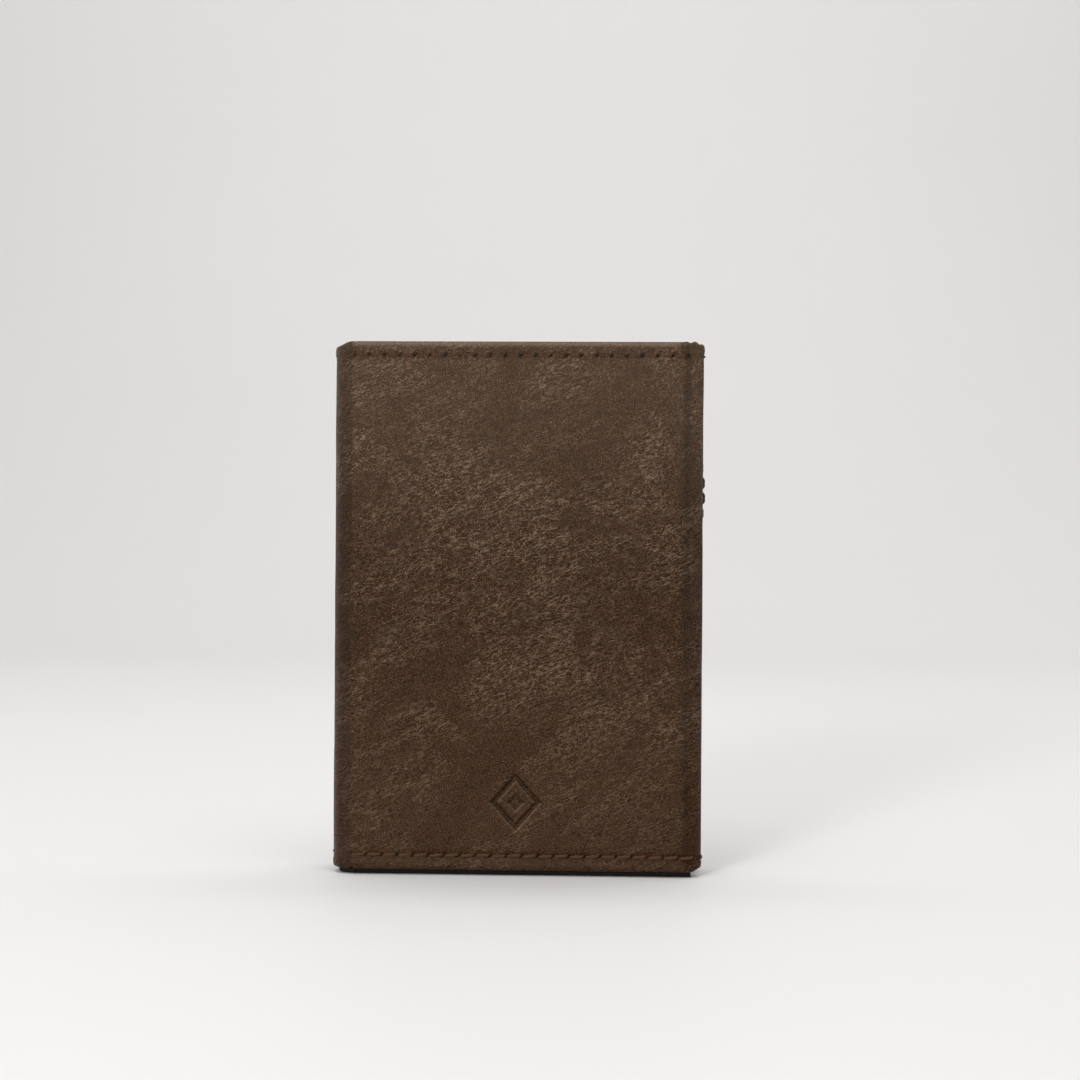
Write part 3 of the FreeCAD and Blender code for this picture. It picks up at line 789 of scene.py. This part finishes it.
def slab(name, node, side, slot, body, relief=None, edge=None, ends=0.25,
         step=1.2, coarse=1.2, bands=(), lift=None, seed=0.0):
    """A thin layer that fills its node's box, with every edge rounded. relief(x, z) stands
    proud of the face that looks towards side along Y. slot names its material."""
    (x0, x1), (y0, y1), (z0, z1) = box_mm(node)
    thick = y1 - y0
    edge = min(edge or thick * 0.45, thick * 0.5)
    section = sheet_section(levels(z0, z1, edge, bands, coarse), z0, z1, thick, edge)
    near = ends * (1 - np.cos(np.linspace(0, math.pi / 2, 5)))
    count = max(2, int(round((x1 - x0 - 2 * ends) / step)))
    xs = np.r_[x0 + near[:-1], np.linspace(x0 + ends, x1 - ends, count), x1 - near[:-1][::-1]]
    from_end = np.minimum(xs - x0, x1 - xs)
    squeeze = np.sqrt(np.clip(1 - (1 - np.clip(from_end / ends, 0, 1)) ** 2, 0.02, 1))
    x = np.repeat(xs[:, None], len(section), 1)
    z = np.tile(section[:, 0], (len(xs), 1))
    depth = np.tile(section[:, 1], (len(xs), 1))
    outer = np.tile(section[:, 2], (len(xs), 1))
    depth = thick / 2 + (depth - thick / 2) * squeeze[:, None]
    proud = relief(x, z) * outer * squeeze[:, None] if relief else 0.0
    face = y1 if side > 0 else y0
    y = face - side * depth + side * proud
    if lift is not None:
        z = z + lift(x, z)
    verts = np.stack([x, y, z], -1).reshape(-1, 3)
    grain = np.stack([x, z, np.full_like(x, seed) + depth * 0.3], -1).reshape(-1, 3)
    faces = ring_faces(len(xs), len(section))
    if side > 0:
        faces = [quad[::-1] for quad in faces]
    obj = new_object(name, verts, faces, grain, SLOTS[slot])
    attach(obj, body)
    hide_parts(node)
    return obj


def wavy_top(z_top, seed, height):
    """A cut edge that isn't quite straight."""
    def lift(x, z):
        wave = np.sin(x * 0.21 + seed) * 0.6 + np.sin(x * 0.57 + 2.1 * seed) * 0.4
        return height * (wave - 0.5) * ramp(z, z_top - 9, z_top)
    return lift


def soft_layer(seed, height):
    """The slow rise and fall of a layer that lies against others."""
    def relief(x, z):
        slow = coarse_field(x, z, 19.0, seed, 4.0)
        quick = coarse_field(x, z, 6.0, seed + 3, 1.8)
        return height * (0.7 * slow + 0.3 * quick) - height
    return relief


def pocket_relief(mouth, seams, seed):
    """A pocket strip: creased under its mouth, slightly gaping, and pulled in along its seams."""
    def relief(x, z):
        middle = (seams[0] + seams[1]) / 2
        half = (seams[1] - seams[0]) / 2
        bow = np.clip(1 - ((x - middle) / half) ** 2, 0, 1)
        out = 0.10 * bow * ramp(z, mouth - 14, mouth)
        out = out - 0.09 * bell(z - (mouth - 1.7), 0.22)
        out = out + 0.03 * bell(z - (mouth - 0.8), 0.6)
        for seam_x in seams:
            out = out - 0.10 * bell(x - seam_x, 0.9)
        out = out - 0.08 * bell(z - POCKET_SEAM_Z, 0.8)
        worn = 0.05 * coarse_field(x, z, 14.0, seed, 3.0)
        worn = worn + 0.02 * coarse_field(x, z, 4.0, seed + 4, 1.3)
        return out + worn - 0.03
    return relief


def mouth_bands(mouth):
    return [(mouth - 2.6, mouth, 0.14), (POCKET_SEAM_Z - 1.2, POCKET_SEAM_Z + 1.2, 0.3)]


def lining(name, node, side, body, seed, top):
    """A sheet of black lining glued to what is behind it."""
    obj = slab(name, node, side, "black_lining", body, soft_layer(seed, 0.03), edge=0.08,
               ends=0.1, step=1.6, coarse=1.6, lift=wavy_top(top, seed, 0.25), seed=seed)
    return obj


def panel_inside(panel, side, body, seed):
    """Board, linings, pocket base and edging of one panel. side is the way its pockets look."""
    top = span(panel + "_stiffener", 2)[1]
    base_top = span(panel + "_pocket_base", 2)[1]
    slab(panel + "_board", panel + "_stiffener", side, "black_board", body,
         soft_layer(seed, 0.02), edge=0.16, step=1.6, coarse=1.6, lift=wavy_top(top, seed, 0.3),
         seed=seed)
    lining(panel + "_lining_outer", panel + "_bill_lining_outer", side, body, seed + 1,
           span(panel + "_bill_lining_outer", 2)[1])
    base = slab(panel + "_pocket_backing", panel + "_pocket_base", side, "pocket_leather",
                body, pocket_relief(base_top, (-32.0, 32.0), seed + 2),
                step=1.0, coarse=1.0, bands=[(103.0, 105.5, 0.16)], seed=seed + 2)
    lining(panel + "_lining_inner", panel + "_bill_lining_inner", -side, body, seed + 3,
           span(panel + "_bill_lining_inner", 2)[1])
    # The black bottom edging shows as a dark strip under the leather's lifted bottom edge. Its
    # black is partly the board's own colour and partly stands for the shadow in the gap there.
    slab(panel + "_edging_low", panel + "_bottom_welt", side, "black_board", body,
         soft_layer(seed + 4, 0.04), edge=0.3, ends=0.35, step=0.8, coarse=0.3, seed=seed + 4)


def card_slots(panel, side, body, seed):
    """Three stepped strips, the highest one furthest back."""
    (x0, x1), _, _ = box_mm(panel + "_card_slot_low")
    seams = (x0 + POCKET_SEAM_IN, x1 - POCKET_SEAM_IN)
    for i, word in enumerate(("high", "mid", "low")):
        mouth = MOUTH_TOPS[word]
        slab(f"{panel}_slot_{word}", f"{panel}_card_slot_{word}", side, "pocket_leather",
             body, pocket_relief(mouth, seams, seed + i), edge=0.2, step=0.8, coarse=0.8,
             bands=mouth_bands(mouth), lift=wavy_top(mouth, seed + i, 0.12), seed=seed + 10 + i)


def low_row(x0, x1, y, side):
    """The stitches along the bottom of a stack of pockets between x0 and x1."""
    count = int((x1 - x0 - 2) // PITCH)
    middles = [(x0 + x1) / 2 + (i - (count - 1) / 2) * PITCH for i in range(count)]
    along, out = np.array([-float(side), 0.0, 0.0]), np.array([0.0, float(side), 0.0])
    return [((x, y, POCKET_SEAM_Z), along, out, dict(rise=0.2, radius=0.2, sink=0.3))
            for x in middles]


def pocket_rows(panel, side, body, name, node):
    """The seams up both sides of the card slots and along their bottom."""
    (x0, x1), (low_y0, low_y1), _ = box_mm(panel + "_card_slot_low")
    base_y = span(panel + "_pocket_base", 1)
    face = low_y1 if side > 0 else low_y0
    back = base_y[1] if side > 0 else base_y[0]
    thick = abs(face - back) / 3
    top = span(panel + "_pocket_base", 2)[1]
    rng = np.random.default_rng(len(panel))
    made = []
    for seam_x in (x0 + POCKET_SEAM_IN, x1 - POCKET_SEAM_IN):
        for z in np.arange(8.0, top - 1.6, PITCH):
            near = min(abs(z - m) for m in (*MOUTH_TOPS.values(), top))
            if near < 1.3:
                continue
            over = sum(z < m for m in MOUTH_TOPS.values())
            y = back + side * thick * over - side * 0.10
            made.append(upright(seam_x, y, z, (0.0, float(side)), rise=0.2, radius=0.2, sink=0.3,
                                slant=0.1 + rng.normal(0, 0.02)))
    made += low_row(x0, x1, face - side * 0.10, side)
    seam(name, body, made, node)


panel_inside("front", 1, "front_flap", 50.0)
card_slots("front", 1, "front_flap", 60.0)
pocket_rows("front", 1, "front_flap", "front_seam_pockets", "front_thread_pockets")
slab("front_edging_end", "front_end_welt", 1, "black_board", "front_flap",
     soft_layer(71.0, 0.04), edge=0.3, ends=0.35, step=0.4, coarse=0.8, seed=71.0)

panel_inside("middle", -1, "middle", 80.0)
card_slots("middle", -1, "middle", 90.0)
pocket_rows("middle", -1, "middle", "middle_seam_pockets", "middle_thread_pockets")

panel_inside("back", -1, "back_flap", 110.0)
slab("back_edging_end", "back_end_welt", -1, "black_board", "back_flap",
     soft_layer(121.0, 0.04), edge=0.3, ends=0.35, step=0.4, coarse=0.8, seed=121.0)


# The back flap's window: a slip pocket, a clear film over it and a leather frame.
(slip_x0, slip_x1), _, (_, slip_z1) = box_mm("back_slip_pocket")
slab("back_slip", "back_slip_pocket", -1, "pocket_leather", "back_flap",
     pocket_relief(slip_z1, (slip_x0 + POCKET_SEAM_IN, slip_x1 - POCKET_SEAM_IN), 130.0),
     edge=0.2, step=0.9, coarse=0.9, bands=mouth_bands(slip_z1), seed=130.0)
slab("back_film", "back_window_film", -1, "clear_film", "back_flap",
     lambda x, z: 0.025 * coarse_field(x, z, 22.0, 5.0, 4.0) - 0.03, edge=0.1, ends=0.12,
     step=1.2, coarse=1.2, seed=140.0)


def rounded_outline(x0, x1, z0, z1, radius, per_side=36):
    """Points round a rounded rectangle, the same number between each two corner middles, so
    that outlines of different sizes match point for point."""
    quarter = [(x1 - radius, z0 + radius, -90), (x1 - radius, z1 - radius, 0),
               (x0 + radius, z1 - radius, 90), (x0 + radius, z0 + radius, 180)]
    path, points = [], []
    for cx, cz, start in quarter:
        path.append(arc(cx, cz, radius, radius, start, start + 90, 13))
    for i in range(4):
        leg = np.array(path[i][6:] + path[(i + 1) % 4][:7])
        lengths = np.r_[0, np.cumsum(np.hypot(*np.diff(leg, axis=0).T))]
        at = np.linspace(0, lengths[-1], per_side, endpoint=False)
        points += list(zip(np.interp(at, lengths, leg[:, 0]), np.interp(at, lengths, leg[:, 1])))
    return np.array(points)


def window_frame():
    """The leather frame that laps over the film all round. Gives its opening and its face."""
    (x0, x1), (y0, y1), (z0, z1) = box_mm("back_window_frame")
    (fx0, fx1), (film_y, _), (fz0, fz1) = box_mm("back_window_film")
    lap, corner, slack = WINDOW_LAP, 5.0, 0.1
    wx0, wx1, wz0, wz1 = fx0 + lap, fx1 - lap, fz0 + lap, fz1 - lap
    opening = rounded_outline(wx0, wx1, wz0, wz1, corner)
    lapped = rounded_outline(wx0 - lap - slack, wx1 + lap + slack,
                             wz0 - lap - slack, wz1 + lap + slack, corner + lap)
    rim = rounded_outline(x0, x1, z0, z1, 0.6)
    face, thick, deep = y0, film_y - y0, y1 - y0
    # (how far from the opening to the lap, how far from the lap to the rim, depth)
    section = [(0.0, 0.0, thick * 0.5), (0.01, 0.0, 0.22), (0.03, 0.0, 0.08), (0.07, 0.0, 0.0)]
    section += [(s, 0.0, 0.0) for s in np.linspace(0.14, 1.0, 18)]
    section += [(1.0, s, 0.0) for s in np.linspace(0.12, 0.96, 9)]
    section += [(1.0, 0.985, 0.06), (1.0, 1.0, 0.22), (1.0, 1.0, deep - 0.15), (1.0, 0.98, deep)]
    section += [(1.0, s, deep) for s in (0.6, 0.2, 0.02)]
    section += [(1.0, 0.0, thick + 0.01), (0.6, 0.0, thick), (0.2, 0.0, thick), (0.02, 0.0, thick)]
    verts, grain = [], []
    for i in range(len(opening)):
        for s, t, depth in section:
            p = opening[i] + (lapped[i] - opening[i]) * s
            p = p + (rim[i] - lapped[i]) * t
            proud = 0.0
            if depth == 0.0:
                off = s * (lap + slack)
                proud = 0.03 * noise.noise(Vector((p[0] / 9, p[1] / 9, 4.0)))
                proud -= 0.10 * math.exp(-((off - 2.2) / 0.7) ** 2) * (t == 0.0)
                proud -= 0.07 * math.exp(-((off - 1.0) / 0.2) ** 2) * (t == 0.0)
            verts.append((p[0], face + depth - proud, p[1]))
            grain.append((p[0], p[1], 150.0 + depth * 0.3))
    faces = ring_faces(len(opening), len(section), wrap_columns=True)
    obj = new_object("back_window_surround", verts, faces, grain, POCKET)
    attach(obj, "back_flap")
    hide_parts("back_window_frame")
    return wx0, wx1, wz0, face


win_x0, win_x1, win_z0, frame_face = window_frame()
window_rows = []
for seam_x in (win_x0 - 2.2, win_x1 + 2.2):
    for z in np.arange(win_z0 - 1, MOUTH_TOPS["low"], PITCH):
        window_rows.append(upright(seam_x, frame_face + 0.10, z, (0.0, -1.0), rise=0.2, radius=0.2,
                                   sink=0.3))
window_rows += low_row(slip_x0, slip_x1, frame_face + 0.06, -1)
seam("back_seam_window", "back_flap", window_rows, "back_thread_window")


# ---- Inside of each fold: the lining of the note compartment, and the black edging ----

def inner_strip(name, line, z0, z1, thick, slot, node, seed):
    """A strip that lines one half of a fold. line is its outside."""
    def quiet(x, y, z, u):
        return 0.02 * coarse_field(u, z, 7.0, seed, 2.0) - 0.02

    obj, _ = leather_sheet(name, line, 0.0, quiet, SLOTS[slot], [], seed, steps=lambda x: 0.35,
                           z0=z0, z1=z1, thick=thick, edge=thick * 0.45, coarse=1.2)
    bend(obj)
    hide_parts(node)
    return obj


GAP = 0.06                  # between the leather and what lines it
LINING_T = 0.22
FOLD_WELT = 0.9
WELT_SHORT = 0.2            # the fold's edging stops this far below its CAD top
TUCK = 5.6                  # how far a fold's lining runs into the note compartment beside it
_, _, (lining_z0, lining_z1) = box_mm("left_fold_lining")
_, _, (welt_z0, welt_z1) = box_mm("left_fold_welt")


def bill_gap(panel):
    """The low and high y of a panel's empty note compartment."""
    a, b = span(panel + "_bill_lining_outer", 1), span(panel + "_bill_lining_inner", 1)
    return (a[1], b[0]) if a[1] < b[0] else (b[1], a[0])


# side, which half, centre, radii, angles, leather thickness, panel, its side, cover
QUARTERS = [
    ("left", "front", (LEFT_X + CORNER_A, LEFT_MID_Y), (CORNER_A, LEFT_MID_Y - FRONT_Y),
     (180, 268), SKIN, "front", -1, "front_cover"),
    ("left", "rear", (LEFT_X + FOLD_A, LEFT_MID_Y), (FOLD_A, MIDDLE_REAR - LEFT_MID_Y),
     (180, 92), SKIN, "middle", 1, "rear_cover"),
    ("right", "front", (RIGHT_X - FOLD_A, RIGHT_MID_Y), (FOLD_A, RIGHT_MID_Y - MIDDLE_FRONT),
     (0, -88), HEM_SKIN, "middle", -1, "right_fold_hem"),
    ("right", "rear", (RIGHT_X - BACK_CORNER_A, RIGHT_MID_Y), (BACK_CORNER_A, BACK_Y - RIGHT_MID_Y),
     (0, 88), SKIN, "back", 1, "back_cover"),
]
for hand, half, (cx, cy), (a, b), (start, end), skin, panel, out_side, cover in QUARTERS:
    fold_name, half_fold = hand + "_fold", f"{hand}_{half}"
    inset = skin + GAP
    turned = arc(cx, cy, a - inset, b - inset, start, end)
    low, high = bill_gap(panel)
    tuck_y = low + 0.04 if out_side < 0 else high - 0.04
    inward = 1 if hand == "left" else -1
    tucked = [(cx + inward * 0.55, tuck_y), (cx + inward * TUCK, tuck_y)]
    cloth_line = turned + tucked
    edging_line = turned
    if half_fold in ("left_rear", "right_front"):          # these outlines run the other way
        cloth_line, edging_line = cloth_line[::-1], edging_line[::-1]
    piece = inner_strip(f"{fold_name}_gusset_{half}", cloth_line, lining_z0, lining_z1, LINING_T,
                        "black_lining", fold_name + "_lining", 160.0)
    inner_strip(f"{fold_name}_edging_{half}", edging_line, welt_z0, welt_z1 - WELT_SHORT, FOLD_WELT,
                "black_board", fold_name + "_welt", 170.0)


# ---- Stage, light and camera ----

def backdrop():
    """A pale floor that curves up into a wall well behind the wallet."""
    run = [(-3000.0, 0.0), (-1200.0, 0.0), (-400.0, 0.0), (0.0, 0.0), (500.0, 0.0)]
    radius, start = 500.0, 700.0
    run += [(start + radius * math.sin(t), radius - radius * math.cos(t))
            for t in np.linspace(0, math.pi / 2, 24)]
    run.append((start + radius, 2600.0))
    xs = np.linspace(-2600, 2600, 9)
    verts = [(x, y, z) for y, z in run for x in xs]
    faces = []
    for i in range(len(run) - 1):
        for j in range(len(xs) - 1):
            a = i * len(xs) + j
            faces.append((a, a + 1, a + 1 + len(xs), a + len(xs)))
    n = Nodes("pale_floor")
    at = n.place()
    tone = n.noise(at, 0.004, 2.0, 0.5)
    n.feed(n.shader.inputs["Base Color"],
           n.mix(tone, (0.80, 0.785, 0.775, 1), (0.82, 0.81, 0.80, 1)))
    n.shader.inputs["Roughness"].default_value = 0.6
    n.shader.inputs["Specular IOR Level"].default_value = 0.2
    obj = new_object("backdrop", verts, faces, verts, n.material)


def softbox(name, place, aim, size, power):
    """An area light at a place in millimetres, turned to its aim. size is in metres."""
    light = bpy.data.lights.new(name, "AREA")
    light.shape = "RECTANGLE"
    light.size, light.size_y = size
    light.energy = power
    obj = bpy.data.objects.new(name, light)
    obj.location = Vector(place) * MM
    obj.rotation_euler = (Vector(aim) * MM - obj.location).to_track_quat("-Z", "Y").to_euler()
    bpy.context.scene.collection.objects.link(obj)


backdrop()
world = bpy.data.worlds.new("studio")
world.use_nodes = True
world.node_tree.nodes["Background"].inputs["Color"].default_value = (1.0, 0.985, 0.975, 1)
world.node_tree.nodes["Background"].inputs["Strength"].default_value = 0.22
bpy.context.scene.world = world
bpy.context.scene.view_settings.view_transform = "Standard"

softbox("front_key", (-330, -780, 330), (0, 0, 60), (0.20, 0.20), 3.9)
softbox("front_top", (0, -380, 1050), (0, -60, 0), (1.0, 0.6), 4.9)
softbox("back_right", (700, 560, 620), (0, 0, 50), (0.6, 0.6), 0.5)
softbox("overhead", (0, 260, 1250), (0, 260, 0), (1.8, 1.0), 4.2)
softbox("wall_wash", (0, 250, 1100), (0, 1150, 260), (1.6, 0.4), 5.1)

CAMERA_AWAY = 400.0         # camera to the front face
CAMERA_UP = 69.8
CAMERA_TURN = 2.0           # degrees to the right of straight ahead
CAMERA_SHIFT = 4.7          # the wallet stands this far left of the view's middle
CAMERA_ROLL = 0.37
turn, roll = math.radians(CAMERA_TURN), math.radians(CAMERA_ROLL)
look = Vector((-math.sin(turn), math.cos(turn), 0))
right = Vector((math.cos(turn), math.sin(turn), 0))
up = Vector((0, 0, 1))
tilted_right = right * math.cos(roll) + up * math.sin(roll)
tilted_up = up * math.cos(roll) - right * math.sin(roll)
spot = Vector((0, FRONT_Y, CAMERA_UP)) - look * CAMERA_AWAY + right * CAMERA_SHIFT
camera_data = bpy.data.cameras.new("camera")
camera_data.sensor_width = 36.0
camera_data.lens = 64.27
camera = bpy.data.objects.new("camera", camera_data)
bpy.context.scene.collection.objects.link(camera)
turned = Matrix((tilted_right, tilted_up, -look)).transposed()
camera.matrix_world = Matrix.Translation(spot * MM) @ turned.to_4x4()
bpy.context.scene.camera = camera
